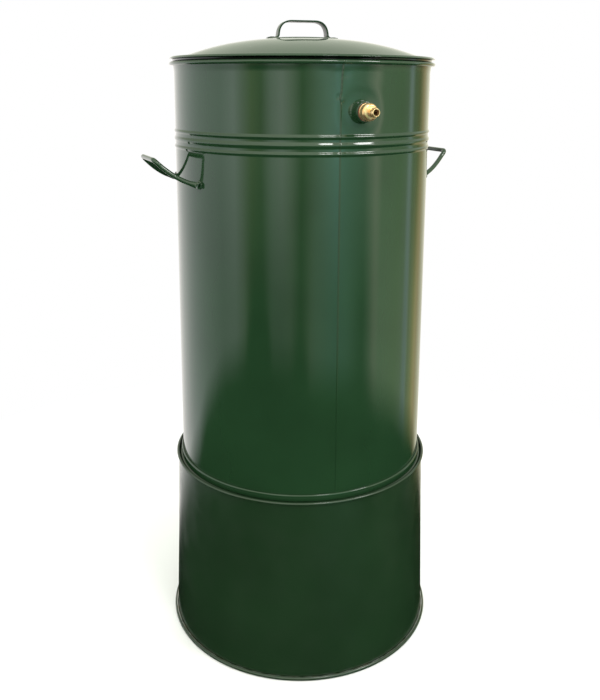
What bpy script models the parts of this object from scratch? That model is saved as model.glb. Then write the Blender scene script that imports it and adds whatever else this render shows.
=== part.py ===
"""Painted steel water butt on its plinth: a lidded barrel with a brass hose tail near the rim and a
quarter-turn tap near its foot. Metres, +Z up. The origin lies on the ground under the middle of the
whole object's bounding box. The hose tail faces -Y, the tap faces +Y and the handles face -X and +X."""

import math

import bmesh
import bpy

MM = 0.001
GAP = 0.3            # clearance between pieces that touch, mm
ROUND = 48           # facets round the vessel
SMALL_ROUND = 20     # facets round a fitting

# ---- driving dimensions, mm ----
SHEET = 1.0          # steel sheet
BARREL_R = 200.0     # outside of the barrel wall
CURL_R = 3.5         # outside of a wired edge
WIRE_R = 2.2         # wire inside a wired edge
CURL_STEP = 60       # degrees between the points of a curl
RIM_R = 203.9        # radius of the barrel's rim wire
RIM_Z = 930.0        # height of the barrel's rim wire
BEAD_Z = (806.0, 818.0, 829.5)
BEAD_HALF = (3.8, 5.2, 3.8)
BEAD_RISE = 1.7

PLINTH_FOOT_R = 216.4    # outside of the plinth wall at the ground
PLINTH_TOP_R = 207.6     # outside of the plinth wall at its rim
PLINTH_RIM_Z = 291.6
FOOT_CURL_R = 3.4
TOP_CURL_R = 2.3
LEDGE_Z = 291.2          # top of the ledge that carries the barrel
LEDGE_INNER_R = 183.0
LEDGE_SHEET = 1.5
LEDGE_SKIRT = 22.0       # how far the ledge's skirt reaches down the plinth wall
LEDGE_FLANGE = 8.0       # how far its inner edge is turned down
CHIME_TOP = 301.9
CHIME_R = 202.8
BOTTOM_Z = 306.0         # inside floor of the barrel

LID_EDGE_R = 206.7       # centre of the lid's sheet at its edge
LID_DOME_R = 585.0       # radius of the dome
LID_LIP_R = 189.0        # where the dome meets the flat lip
LID_LIP_Z = 939.4
LID_PLATEAU_R = 57.5
LID_PLATEAU_RISE = 1.3
LOCATING_R = 196.0
LOCATING_DEPTH = 25.0

STRAP_WIDTH = 24.0
STRAP_THICK = 2.5
STRAP_HALF = 38.0        # middle of the strap's leg from the lid's centre
STRAP_FOOT_END = 55.0
STRAP_RISE = 28.0        # middle of the strap's top above the lid's plateau
STRAP_CORNER = 16.0
STRAP_TURN = -11.8       # degrees about +Z
RIVET_X = 48.5
RIVET_Y = 6.0
RIVET_R = 2.4

HANDLE_Z = 754.7         # where the handle meets the wall
HANDLE_FEET = 128.0      # between the feet
HANDLE_GRIP = 77.0       # length of the grip, to the middle of the arms
HANDLE_REACH = 60.2
HANDLE_RISE = (0.174, 7.41)  # slope at the wall, and its growth per metre of reach
HANDLE_CORNER = 7.0
HANDLE_BAR_R = 3.5

SOCKET_R = 14.5
SOCKET_BORE_R = 10.0
SOCKET_FACE = 215.0      # distance of a socket's face from the vessel's axis
WASHER = 1.3
WASHER_R = 12.4
SHANK = 11.0             # how far a fitting's threaded shank enters its socket
HOSE_Z = 863.8
HOSE_BORE_R = 4.35
HOSE_COLLAR_R = 12.15
HOSE_BARB_R = 6.65
HOSE_END = 243.9
TAP_Z = 330.0
TAP_STEM = 243.0         # distance of the tap's stem from the vessel's axis
TAP_SPOUT = 262.0
TAP_END = 271.5
LEVER_LENGTH = 50.0

AXIS_Y = -(TAP_END - HOSE_END) / 2   # the vessel's axis, so that the bounding box is centred


# ---- small tools ----
def clear_scene():
    for obj in list(bpy.data.objects):
        bpy.data.objects.remove(obj)


def paint(name, colour, metallic, roughness):
    mat = bpy.data.materials.new(name)
    mat.use_nodes = True
    shader = mat.node_tree.nodes["Principled BSDF"]
    shader.inputs["Base Color"].default_value = (*colour, 1.0)
    shader.inputs["Metallic"].default_value = metallic
    shader.inputs["Roughness"].default_value = roughness
    mat.diffuse_color = (*colour, 1.0)
    return mat


def empty(name, x, y, z, parent=None):
    obj = bpy.data.objects.new(name, None)
    bpy.context.scene.collection.objects.link(obj)
    obj.location = (x * MM, y * MM, z * MM)
    obj.parent = parent
    return obj


def add(name, bm, mat, parent, location=(0, 0, 0), rotation=(0, 0, 0)):
    """Makes the bmesh an object with its normals outwards, shaded smooth across shallow edges."""
    bmesh.ops.remove_doubles(bm, verts=bm.verts, dist=1e-7)
    bmesh.ops.recalc_face_normals(bm, faces=bm.faces)
    mesh = bpy.data.meshes.new(name)
    bm.to_mesh(mesh)
    bm.free()
    mesh.shade_smooth()
    mesh.set_sharp_from_angle(angle=math.radians(35))
    obj = bpy.data.objects.new(name, mesh)
    bpy.context.scene.collection.objects.link(obj)
    obj.data.materials.append(mat)
    obj.parent = parent
    obj.location = [v * MM for v in location]
    obj.rotation_euler = [math.radians(v) for v in rotation]
    return obj


def helper(obj):
    obj.hide_render = True
    obj.display_type = "WIRE"
    return obj


def boolean(obj, operation, other):
    modifier = obj.modifiers.new(operation.title(), "BOOLEAN")
    modifier.operation = operation
    modifier.object = helper(other)


def lathe(outline, steps=ROUND):
    """A bmesh turned about +Z from a closed outline of (radius, height) points."""
    bm = bmesh.new()
    verts = [bm.verts.new((r * MM, 0, z * MM)) for r, z in outline]
    edges = [bm.edges.new((a, b)) for a, b in zip(verts, verts[1:] + verts[:1])]
    bmesh.ops.spin(bm, geom=verts + edges, cent=(0, 0, 0), axis=(0, 0, 1),
                   angle=math.tau, steps=steps, use_merge=True)
    bmesh.ops.remove_doubles(bm, verts=bm.verts, dist=1e-7)
    bmesh.ops.delete(bm, geom=[edge for edge in bm.edges if edge.is_wire], context="EDGES")
    return bm


def sheet(path, thick=SHEET):
    """The closed outline of a strip of the given thickness whose middle follows the path."""
    left, right = [], []
    for i, (x, z) in enumerate(path):
        before = path[max(i - 1, 0)]
        after = path[min(i + 1, len(path) - 1)]
        ways = []
        for a, b in ((before, (x, z)), ((x, z), after)):
            length = math.dist(a, b)
            if length > 1e-9:
                ways.append(((b[0] - a[0]) / length, (b[1] - a[1]) / length))
        tx, tz = (sum(w[k] for w in ways) / len(ways) for k in (0, 1))
        stretch = thick / 2 / (tx * tx + tz * tz)
        left.append((x - tz * stretch, z + tx * stretch))
        right.append((x + tz * stretch, z - tx * stretch))
    return left + right[::-1]


def arc(centre, radius, start, end, step):
    """Points along an arc in degrees, both ends included."""
    count = round(abs(end - start) / step)
    angles = [math.radians(start + (end - start) * i / count) for i in range(count + 1)]
    return [(centre[0] + radius * math.cos(a), centre[1] + radius * math.sin(a)) for a in angles]


def curl_flat(curl_r):
    """Distance from a curl's centre to its flats, where it rests or carries something."""
    return (curl_r - SHEET / 2) * math.cos(math.radians(CURL_STEP / 2)) + SHEET / 2


def ring(radius, height, wire, sides=6):
    """A wire ring whose flats line up with those of the curl around it."""
    return lathe(arc((radius, height), wire, 0, 360, 360 / sides)[:-1])


def cylinder(radius, low, high, steps=SMALL_ROUND):
    return lathe([(0, low), (radius, low), (radius, high), (0, high)], steps)


def tube(outer, inner, low, high, steps=SMALL_ROUND):
    return lathe([(inner, low), (outer, low), (outer, high), (inner, high)], steps)


def block(size, centre):
    bm = bmesh.new()
    bmesh.ops.create_cube(bm, size=1)
    bmesh.ops.scale(bm, vec=[v * MM for v in size], verts=bm.verts)
    bmesh.ops.translate(bm, vec=[v * MM for v in centre], verts=bm.verts)
    return bm


def pipe(points, radius, sides=SMALL_ROUND):
    """A round bar whose middle follows the points, each a (x, y, z)."""
    curve = bpy.data.curves.new("route", "CURVE")
    curve.dimensions = "3D"
    curve.bevel_depth = radius * MM
    curve.bevel_resolution = sides // 4 - 1
    curve.use_fill_caps = True
    spline = curve.splines.new("POLY")
    spline.points.add(len(points) - 1)
    for point, place in zip(spline.points, points):
        point.co = (*(v * MM for v in place), 1)
    route = bpy.data.objects.new("route", curve)
    bpy.context.scene.collection.objects.link(route)
    bpy.context.view_layer.update()
    bm = bmesh.new()
    bm.from_mesh(route.evaluated_get(bpy.context.evaluated_depsgraph_get()).to_mesh())
    bpy.data.objects.remove(route)
    return bm


# ---- plinth ----
def plinth_radius(z):
    """Middle of the plinth's sheet at a height."""
    return PLINTH_FOOT_R - SHEET / 2 + (PLINTH_TOP_R - PLINTH_FOOT_R) * z / PLINTH_RIM_Z


def make_plinth(green, steel):
    base = empty("plinth_origin", 0, AXIS_Y, 0)
    foot_mid, top_mid = FOOT_CURL_R - SHEET / 2, TOP_CURL_R - SHEET / 2
    foot_z = curl_flat(FOOT_CURL_R)
    foot = (plinth_radius(foot_z) + foot_mid, foot_z)
    top = (plinth_radius(PLINTH_RIM_Z) + top_mid, PLINTH_RIM_Z)
    path = arc(foot, foot_mid, 60, -180, CURL_STEP) + arc(top, top_mid, 180, -60, CURL_STEP)
    add("plinth_wall", lathe(sheet(path)), green, base)
    add("plinth_foot_wire", ring(*foot, foot_mid - SHEET / 2 - GAP), steel, base)
    add("plinth_rim_wire", ring(*top, top_mid - SHEET / 2 - GAP), steel, base)
    thick = LEDGE_SHEET
    outer = plinth_radius(LEDGE_Z) - SHEET / 2 - GAP - thick / 2
    low = LEDGE_Z - LEDGE_SKIRT
    lean = plinth_radius(low) - plinth_radius(LEDGE_Z)
    ledge = [(outer + lean, low), (outer, LEDGE_Z - thick / 2),
             (LEDGE_INNER_R, LEDGE_Z - thick / 2), (LEDGE_INNER_R, LEDGE_Z - LEDGE_FLANGE)]
    add("plinth_ledge", lathe(sheet(ledge, thick)), green, base)
    return base


# ---- barrel ----
def barrel_path():
    """The middle of the wall's sheet, from its foot up over three beads and round the rim wire."""
    mid = BARREL_R - SHEET / 2
    path = [(mid, LEDGE_Z + GAP)]
    for z, half in zip(BEAD_Z, BEAD_HALF):
        path += [(mid, z - half), (mid + BEAD_RISE, z), (mid, z + half)]
    path.append((mid, RIM_Z - 6))
    return path + arc((RIM_R, RIM_Z), CURL_R - SHEET / 2, 180, -120, CURL_STEP)


def make_handle(name, side, green, base, outside):
    """A bar bent to a tapering loop that rises as it leaves the wall. side is 1 on +X, -1 on -X."""
    half_foot, half_grip = HANDLE_FEET / 2, HANDLE_GRIP / 2
    start = math.sqrt(BARREL_R**2 - half_foot**2)

    def place(out, across):
        slope, growth = HANDLE_RISE
        rise = slope * out + growth * MM * out * out
        return (side * (start + out), across, HANDLE_Z + rise)

    reach = HANDLE_REACH - HANDLE_CORNER
    arm = [(reach * i / 6, half_foot + (half_grip - half_foot) * i / 6) for i in range(-1, 7)]
    bend = [(reach + HANDLE_CORNER * math.sin(a), half_grip - HANDLE_CORNER * (1 - math.cos(a)))
            for a in (math.pi / 6, math.pi / 3, math.pi / 2)]
    points = [place(out, across) for out, across in arm + bend]
    points += [(x, -y, z) for x, y, z in points[::-1]]
    bar = add(name, pipe(points, HANDLE_BAR_R, 8), green, base)
    boolean(bar, "DIFFERENCE", outside)


def make_socket(name, turn, height, green, base, outside):
    """A half coupling set square on the wall, its inner end cut to the wall's curve."""
    bm = tube(SOCKET_R, SOCKET_BORE_R, BARREL_R - 8, SOCKET_FACE)
    socket = add(name, bm, green, base, (0, 0, height), (turn, 0, 0))
    boolean(socket, "DIFFERENCE", outside)


def make_barrel(green, steel, brass, fibre, plinth):
    base = empty("barrel_origin", 0, 0, 0, plinth)
    wall = add("barrel_wall", lathe(sheet(barrel_path())), green, base)
    add("barrel_rim_wire", ring(RIM_R, RIM_Z, WIRE_R), steel, base)
    skirt = BARREL_R - SHEET - GAP - SHEET / 2
    pan = [(skirt, LEDGE_Z + GAP), (skirt, BOTTOM_Z - 4), (skirt - 4, BOTTOM_Z - SHEET / 2),
           (0, BOTTOM_Z - SHEET / 2)]
    add("barrel_bottom", lathe(sheet(pan)), green, base)
    chime = [(BARREL_R + GAP, LEDGE_Z + GAP), (CHIME_R, LEDGE_Z + GAP), (CHIME_R, CHIME_TOP - 1),
             (CHIME_R - 1, CHIME_TOP), (BARREL_R + GAP, CHIME_TOP)]
    add("barrel_chime_band", lathe(chime), green, base)

    outside = add("cut_outside", cylinder(BARREL_R + GAP, 0, 1000, ROUND), green, base)
    for name, side in (("side_handle_left", -1), ("side_handle_right", 1)):
        make_handle(name, side, green, base, outside)
    for name, turn, height in (("inlet_socket", 90, HOSE_Z), ("outlet_socket", -90, TAP_Z)):
        make_socket(name, turn, height, green, base, outside)
        hole = add("cut_" + name, cylinder(SOCKET_BORE_R, BARREL_R - 12, BARREL_R + 12),
                   green, base, (0, 0, height), (turn, 0, 0))
        boolean(wall, "DIFFERENCE", hole)
    for name, turn, height in (("inlet_washer", 90, HOSE_Z), ("outlet_washer", -90, TAP_Z)):
        bm = tube(WASHER_R, SOCKET_BORE_R, SOCKET_FACE + GAP, SOCKET_FACE + GAP + WASHER)
        add(name, bm, fibre, base, (0, 0, height), (turn, 0, 0))

    back = SOCKET_FACE + WASHER + 2 * GAP
    shank, flange, barb = SOCKET_BORE_R - GAP, HOSE_COLLAR_R, HOSE_BARB_R
    outline = [(HOSE_BORE_R, SOCKET_FACE - SHANK), (shank, SOCKET_FACE - SHANK), (shank, back),
               (flange, back), (flange, back + 1.5), (flange - 1.1, back + 2),
               (flange - 1.1, back + 2.5), (flange, back + 3), (flange, back + 10),
               (flange - 1.6, back + 12.2), (barb - 1.2, back + 13.4), (barb - 1.2, back + 19),
               (barb, back + 20.5), (barb, back + 22.5), (barb - 1.1, HOSE_END),
               (HOSE_BORE_R, HOSE_END)]
    add("hose_tail", lathe(outline, 24), brass, base, (0, 0, HOSE_Z), (90, 0, 0))
    return base


# ---- tap ----
def make_tap(brass, steel, green, base):
    back = SOCKET_FACE + WASHER + 2 * GAP
    turn = (-90, 0, 0)
    foot = (0, 0, TAP_Z)
    body = add("tap_body", cylinder(SOCKET_BORE_R - GAP, SOCKET_FACE - SHANK, back + 1),
               brass, base, foot, turn)
    hexagon = add("join_hexagon", cylinder(13.3, back, back + 7, 6), brass, base, foot, turn)
    neck = add("join_neck", cylinder(8.5, back + 5, TAP_STEM), brass, base, foot, turn)
    bulb = lathe([(0, -14), (10, -14), (12.5, -9), (12.5, 9), (11, 13), (0, 13)], 24)
    bulb = add("join_bulb", bulb, brass, base, (0, TAP_STEM, TAP_Z))
    bend = TAP_SPOUT - TAP_STEM - 10
    route = [(TAP_STEM, TAP_Z)] + arc((TAP_SPOUT - bend, TAP_Z - bend), bend, 90, 0, 22.5)
    route.append((TAP_SPOUT, TAP_Z - 30))
    points = [(0, y, z) for y, z in route]
    spout = add("join_spout", pipe(points, 8.0), brass, base)
    lip = add("join_lip", cylinder(TAP_END - TAP_SPOUT, -5, 0), brass, base,
              (0, TAP_SPOUT, TAP_Z - 29))
    for piece in (hexagon, neck, bulb, spout, lip):
        boolean(body, "UNION", piece)
    inlet = add("cut_inlet", cylinder(5, SOCKET_FACE - SHANK - 1, TAP_STEM), brass, base, foot, turn)
    water = add("cut_spout", pipe(points[:-1] + [(0, TAP_SPOUT, TAP_Z - 40)], 5.5), brass, base)
    seat = add("cut_seat", cylinder(7.8, -10, 30), brass, base, (0, TAP_STEM, TAP_Z))
    for piece in (inlet, water, seat):
        boolean(body, "DIFFERENCE", piece)
    bore = add("cut_gland", cylinder(4.0, 0, 30), brass, base, (0, TAP_STEM, TAP_Z))
    nut = add("tap_gland_nut", lathe([(0, 13 + GAP), (10.5, 13 + GAP), (10.5, 18), (9.3, 19),
                                      (0, 19)], 6), brass, base, (0, TAP_STEM, TAP_Z))
    boolean(nut, "DIFFERENCE", bore)

    axis = empty("tap_axis", 0, TAP_STEM, TAP_Z, base)
    plug = lathe([(0, -9.5), (7.5, -9.5), (7.5, 9.5), (3.7, 12), (3.7, 23.5), (0, 23.5)], 24)
    plug = add("tap_plug", plug, brass, axis)
    way = add("cut_way", cylinder(4.5, -12, 12), brass, axis, (0, 0, 0), (0, 90, 0))
    boolean(plug, "DIFFERENCE", way)
    lever = add("tap_lever", cylinder(7, 20, 27), green, axis)
    arm = block((LEVER_LENGTH, 11, 3.4), (LEVER_LENGTH / 2, 0, 25.3))
    rim = [edge for edge in arm.edges if all(v.co.x > 0.04 for v in edge.verts)
           and abs(edge.verts[0].co.z - edge.verts[1].co.z) > 0.001]
    bmesh.ops.bevel(arm, geom=rim, offset=0.0045, segments=3, affect="EDGES")
    boolean(lever, "UNION", add("join_arm", arm, green, axis))
    boolean(lever, "DIFFERENCE", add("cut_hub", cylinder(4.0, 19, 23.8), green, axis))
    boolean(lever, "DIFFERENCE", add("cut_screw", cylinder(2.3, 19, 30), green, axis))
    screw = lathe([(0, 23.5 + GAP), (2.0, 23.5 + GAP), (2.0, 27 + GAP), (4.2, 27 + GAP),
                   (3.4, 29.4), (0, 29.8)], 16)
    add("tap_lever_screw", screw, steel, axis)


# ---- lid ----
def dome_height(r):
    """Height of the middle of the lid's sheet on the dome."""
    edge = math.sqrt(LID_DOME_R**2 - LID_LIP_R**2)
    return LID_LIP_Z + math.sqrt(LID_DOME_R**2 - r * r) - edge


def plateau_height():
    """Top of the lid's flat middle."""
    return dome_height(LID_PLATEAU_R) + LID_PLATEAU_RISE + SHEET / 2


def strap_path():
    """The strap's middle line seen from the side, with the lid's plateau at height 0."""
    low = GAP + STRAP_THICK / 2
    bend = 3.5
    foot = [(STRAP_FOOT_END, low)] + arc((STRAP_HALF + bend, low + bend), bend, -90, -180, 45)
    corner = arc((STRAP_HALF - STRAP_CORNER, STRAP_RISE - STRAP_CORNER), STRAP_CORNER, 0, 90, 22.5)
    half = foot + corner
    return half + [(-x, z) for x, z in half[::-1]]


def make_lid(green, base):
    lid = empty("lid_origin", 0, 0, 0, base)
    crown = plateau_height()
    top = crown - SHEET / 2
    path = [(0, top), (LID_PLATEAU_R, top)]
    path += [(r, dome_height(r)) for r in (LID_PLATEAU_R + 2, 92, 125, 158, LID_LIP_R - 4)]
    rest = RIM_Z + curl_flat(CURL_R) + GAP + SHEET / 2
    path += [(LID_LIP_R + 4, LID_LIP_Z - 0.6), (LID_EDGE_R - 0.6, rest + 3.2),
             (LID_EDGE_R, rest + 2.4), (LID_EDGE_R - 3.4, rest + 0.2), (LID_EDGE_R - 6, rest)]
    shell = add("lid_shell", lathe(sheet(path)), green, lid)
    under = LID_LIP_Z - 2.1
    add("lid_locating_ring", tube(LOCATING_R + SHEET / 2, LOCATING_R - SHEET / 2,
                                  under - LOCATING_DEPTH, under, ROUND), green, lid)

    turned = empty("strap_axis", 0, 0, crown, lid)
    turned.rotation_euler.z = math.radians(STRAP_TURN)
    outline = sheet(strap_path(), STRAP_THICK)
    bm = bmesh.new()
    face = bm.faces.new([bm.verts.new((x * MM, -STRAP_WIDTH / 2 * MM, z * MM)) for x, z in outline])
    sweep = bmesh.ops.extrude_face_region(bm, geom=[face])["geom"]
    moved = [v for v in sweep if isinstance(v, bmesh.types.BMVert)]
    bmesh.ops.translate(bm, vec=(0, STRAP_WIDTH * MM, 0), verts=moved)
    strap = add("lid_strap_handle", bm, green, turned)
    low = -SHEET - GAP
    for i, (x, y) in enumerate((x, y) for x in (-RIVET_X, RIVET_X) for y in (-RIVET_Y, RIVET_Y)):
        high = 2 * GAP + STRAP_THICK
        shape = [(0, low - 1.2), (3.4, low - 1.2), (4.2, low), (RIVET_R, low), (RIVET_R, high),
                 (4.4, high), (3.4, high + 1.3), (0, high + 2)]
        add(f"lid_rivet_{i + 1}", lathe(shape, 16), green, turned, (x, y, 0))
        hole = add(f"cut_rivet_{i + 1}", cylinder(RIVET_R + GAP, -5, 6, 12), green, turned, (x, y, 0))
        for obj in (strap, shell):
            boolean(obj, "DIFFERENCE", hole)


def main():
    clear_scene()
    green = paint("green_gloss_paint", (0.012, 0.048, 0.018), 0.0, 0.12)
    plinth_green = paint("green_satin_paint", (0.012, 0.045, 0.018), 0.0, 0.3)
    steel = paint("zinc_steel", (0.55, 0.56, 0.57), 1.0, 0.35)
    brass = paint("brass", (0.78, 0.56, 0.27), 1.0, 0.25)
    fibre = paint("sealing_fibre", (0.2, 0.06, 0.04), 0.0, 0.8)
    plinth = make_plinth(plinth_green, steel)
    barrel = make_barrel(green, steel, brass, fibre, plinth)
    make_tap(brass, steel, green, barrel)
    make_lid(green, barrel)
    bpy.context.view_layer.update()


main()
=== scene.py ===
"""Painted steel water butt on its plinth: finished surfaces, paint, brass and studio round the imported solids.

Shapes are written in millimetres and turned into metres when a mesh is made. The vessel stands on +Z, its
hose tail faces -Y and its tap faces +Y."""

import math

import bmesh
import bpy
import numpy as np
from bpy.props import FloatProperty, FloatVectorProperty, PointerProperty
from bpy.types import Operator, Panel, PropertyGroup
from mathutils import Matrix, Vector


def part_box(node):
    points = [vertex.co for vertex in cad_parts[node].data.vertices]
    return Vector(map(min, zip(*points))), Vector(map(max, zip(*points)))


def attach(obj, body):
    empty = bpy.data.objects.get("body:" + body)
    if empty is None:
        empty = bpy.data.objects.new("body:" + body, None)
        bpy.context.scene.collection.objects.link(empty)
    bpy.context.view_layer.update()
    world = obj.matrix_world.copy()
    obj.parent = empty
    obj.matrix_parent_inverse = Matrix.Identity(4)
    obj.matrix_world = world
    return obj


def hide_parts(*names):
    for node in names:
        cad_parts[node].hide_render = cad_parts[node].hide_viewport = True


bl_info = {
    "name": "Water Butt",
    "version": (1, 0, 0),
    "blender": (4, 5, 0),
    "location": "3D View > Sidebar > Water Butt",
    "description": "Builds a painted steel water butt with its lid, handles, brass fittings and plinth",
    "category": "Add Mesh",
}

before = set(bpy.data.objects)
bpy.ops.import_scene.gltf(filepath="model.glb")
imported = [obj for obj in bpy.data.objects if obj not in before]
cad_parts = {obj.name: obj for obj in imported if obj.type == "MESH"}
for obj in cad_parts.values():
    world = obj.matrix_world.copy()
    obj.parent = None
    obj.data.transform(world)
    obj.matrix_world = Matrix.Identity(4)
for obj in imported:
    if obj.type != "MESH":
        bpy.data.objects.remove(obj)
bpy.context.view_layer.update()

MM = 0.001
TAU = math.tau
X, Y, Z = np.eye(3)
FACINGS = {"up": (X, Y, Z), "front": (X, Z, -Y), "back": (-X, Z, Y)}


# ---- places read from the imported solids, in millimetres ----
def span(node):
    """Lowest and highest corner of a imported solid."""
    low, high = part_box(node)
    return np.array(low) / MM, np.array(high) / MM


def middle(node):
    low, high = span(node)
    return (low + high) / 2


AXIS_Y = middle("barrel_wall")[1]
FOOT_Z = span("barrel_wall")[0][2]
RIM_TOP = span("barrel_wall")[1][2]
CHIME_TOP = span("barrel_chime_band")[1][2]
CHIME_R = span("barrel_chime_band")[1][0]
FLOOR_TOP = span("barrel_bottom")[1][2]
PLINTH_TOP = span("plinth_wall")[1][2]
LID_LOW = span("lid_shell")[0][2]
CROWN = span("lid_shell")[1][2]
RING_LOW, RING_HIGH = (corner[2] for corner in span("lid_locating_ring"))
RING_R = span("lid_locating_ring")[1][0]
HOSE_Z = middle("hose_tail")[2]
HOSE_END = AXIS_Y - span("hose_tail")[0][1]
SOCKET_FACE = AXIS_Y - span("inlet_socket")[0][1]
TAP_Z = middle("outlet_washer")[2]
TAP_STEM = middle("tap_plug")[1] - AXIS_Y
TAP_END = span("tap_body")[1][1] - AXIS_Y
LEVER_END = span("tap_lever")[1][0]

# ---- shapes ----
SHEET = 1.0              # steel sheet
CURL_X, CURL_Z = 3.0, 2.6    # half sizes of the middle line of the rim's curl
RIM_R = 203.9            # middle of the rim's curl
RIM_Z = RIM_TOP - CURL_Z - SHEET / 2
BEADS = ((806.0, 3.8), (818.0, 5.2), (829.5, 3.8))   # height and half width
SEAM = math.radians(-98.5)
PLINTH_TOP_R = 207.1     # middle of the plinth's sheet below its rim
PLINTH_FOOT_R = 215.9    # and at the ground
TOP_CURL = 1.8
FOOT_CURL = 2.5
LIP_R = 189.0            # where the lid's dome meets its lip
LIP_Z = 939.4
DOME_R = 585.0
DOME_FULLNESS = 1.5      # how far the dome stands over that sphere halfway out
PLATEAU_R = 57.5
LID_EDGE_R = 206.7
HANDLE_Z = 754.7
HANDLE_SLOPE, HANDLE_GROWTH = 0.174, 0.00741
HANDLE_REACH = 59.7
HANDLE_CORNER = 7.0
STRAP_TURN = math.radians(-11.8)
STRAP_HALF = 38.0
STRAP_END = 55.0
STRAP_RISE = 26.2
RIVET_PLACES = [(x, y) for x in (-48.5, 48.5) for y in (-6.0, 6.0)]
RIVET_HOLE = 2.7
SOCKET_R, SOCKET_BORE = 14.5, 10.0
PORTS = (("inlet", "front", HOSE_Z), ("outlet", "back", TAP_Z))
FLANGE_BACK = SOCKET_FACE + 1.9                # a fitting's flange sits here, on its washer
SHANK_R, SHANK_IN = 9.7, SOCKET_FACE - 11      # the shank that is screwed into a socket
KINK_Z = 882.0           # where the seam's line bends
HAIR = 1e-4              # how far past its end a tube closes, as a share of its last step

# Marks hammered beside the seam: place along the wall, height, size and depth.
HAMMER_MARKS = ((-21, 917, 9, -0.35), (-9, 921, 5, 0.3), (5, 914, 7, -0.4), (16, 909, 9, 0.3),
                (-3, 884, 4, -0.5), (2.5, 880, 3, 0.45), (9, 896, 10, -0.2), (-6, 902, 8, 0.2),
                (-4, 818, 4, -0.5), (5, 824, 5, 0.3), (6, 809, 5, 0.35), (-5, 806, 4, -0.25))

# A handle's cut tube end, from the bottom of its bore out over its lip: way into the bar, share of its width.
TUBE_END = np.array([(6.0, 0), (6.0, 0.55), (0.2, 0.55), (-0.4, 0.65), (-0.5, 0.8), (-0.35, 0.95)])


# ---- sizes and colours that a user may change ----
class ButtSizes(PropertyGroup):
    barrel_radius: FloatProperty(name="Barrel radius", description="Outside of the barrel's wall",
                                 default=0.2, min=0.05, unit="LENGTH")
    bead_rise: FloatProperty(name="Bead rise", description="How far the beads stand proud of the wall",
                             default=0.0017, min=0.0, unit="LENGTH")
    seam_height: FloatProperty(name="Seam height", description="Step of the lapped seam",
                               default=0.0009, min=0.0, unit="LENGTH")
    bar_radius: FloatProperty(name="Handle bar radius", description="Radius of the side handles' bar",
                              default=0.0035, min=0.001, unit="LENGTH")
    grip_length: FloatProperty(name="Grip length", description="Length of a side handle's grip",
                               default=0.077, min=0.03, unit="LENGTH")
    foot_spacing: FloatProperty(name="Foot spacing", description="Between the feet of a side handle",
                                default=0.128, min=0.04, unit="LENGTH")
    strap_width: FloatProperty(name="Strap width", description="Width of the lid's strap handle",
                               default=0.024, min=0.005, unit="LENGTH")
    strap_thickness: FloatProperty(name="Strap thickness", description="Thickness of the strap handle",
                                   default=0.0025, min=0.001, unit="LENGTH")


class ButtColours(PropertyGroup):
    gloss_green: FloatVectorProperty(name="Gloss green", description="Paint of the barrel and lid",
                                     subtype="COLOR", size=3, default=(0.0102, 0.0312, 0.0130))
    satin_green: FloatVectorProperty(name="Satin green", description="Paint of the plinth",
                                     subtype="COLOR", size=3, default=(0.0080, 0.0230, 0.0092))
    brass: FloatVectorProperty(name="Brass", description="Hose tail and tap",
                               subtype="COLOR", size=3, default=(0.8, 0.57, 0.31))
    zinc: FloatVectorProperty(name="Zinc", description="Wires and screw",
                              subtype="COLOR", size=3, default=(0.55, 0.56, 0.57))
    fibre: FloatVectorProperty(name="Sealing fibre", description="Washers",
                               subtype="COLOR", size=3, default=(0.035, 0.03, 0.022))
    floor: FloatVectorProperty(name="Floor", description="Studio floor",
                               subtype="COLOR", size=3, default=(0.84, 0.83, 0.89))


def millimetres(length):
    return length / MM


# ---- outlines, as arrays of (radius, height) or (across, over) points ----
def softened(corners, cut, steps=5, closed=True, most=0.45):
    """Each corner is cut back along both its sides by its cut, at most a share of the shorter side, and the
    cut is bridged by a parabola: (1-s)^2 start + 2 s (1-s) corner + s^2 end."""
    corners = np.array(corners, float)
    cuts = np.broadcast_to(np.asarray(cut, float), len(corners))
    s = np.linspace(0, 1, steps)[:, None]
    parts = []
    for i, corner in enumerate(corners):
        back, on = corners[i - 1] - corner, corners[(i + 1) % len(corners)] - corner
        at_end = not closed and i in (0, len(corners) - 1)
        if cuts[i] == 0 or at_end:
            parts.append(corner[None])
            continue
        lengths = np.linalg.norm(back), np.linalg.norm(on)
        reach = min(cuts[i], most * min(lengths))
        start, end = corner + back * reach / lengths[0], corner + on * reach / lengths[1]
        parts.append((1 - s)**2 * start + 2 * s * (1 - s) * corner + s**2 * end)
    return np.concatenate(parts)


def unit(vectors):
    return vectors / np.linalg.norm(vectors, axis=-1)[..., None]


def strip(path, thick, from_axis=False):
    """Outline of a sheet round its middle line: the line moved half a thickness to each side along its
    normal, with half circles round its ends. A sheet that starts on the axis has no end there."""
    run = unit(np.gradient(path, axis=0))
    normal = np.stack([-run[:, 1], run[:, 0]], -1) * thick / 2
    turn = np.linspace(0, math.pi, 7)[1:-1, None]
    parts = [path + normal, path[-1] + np.cos(turn) * normal[-1] + np.sin(turn) * run[-1] * thick / 2]
    parts.append((path - normal)[::-1])
    if from_axis:
        parts[0][0, 0] = parts[-1][-1, 0] = 0
    else:
        parts.append(path[0] - np.cos(turn) * normal[0] - np.sin(turn) * run[0] * thick / 2)
    return np.concatenate(parts)


def curl(centre, half, start, end, count):
    """Points on an ellipse about a centre between two angles in degrees."""
    angle = np.radians(np.linspace(start, end, count))
    return np.stack([centre[0] + half[0] * np.cos(angle), centre[1] + half[1] * np.sin(angle)], -1)


def bar_section(width, height, cut, count=5):
    """A rectangle with rounded corners."""
    w, h = width / 2, height / 2
    return softened([(-w, -h), (w, -h), (w, h), (-w, h)], cut, count)


def even(count):
    """Even steps round a whole turn."""
    return np.arange(count) * TAU / count


def circle(radius, count):
    angle = even(count)
    return radius * np.stack([np.cos(angle), np.sin(angle)], -1)


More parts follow.
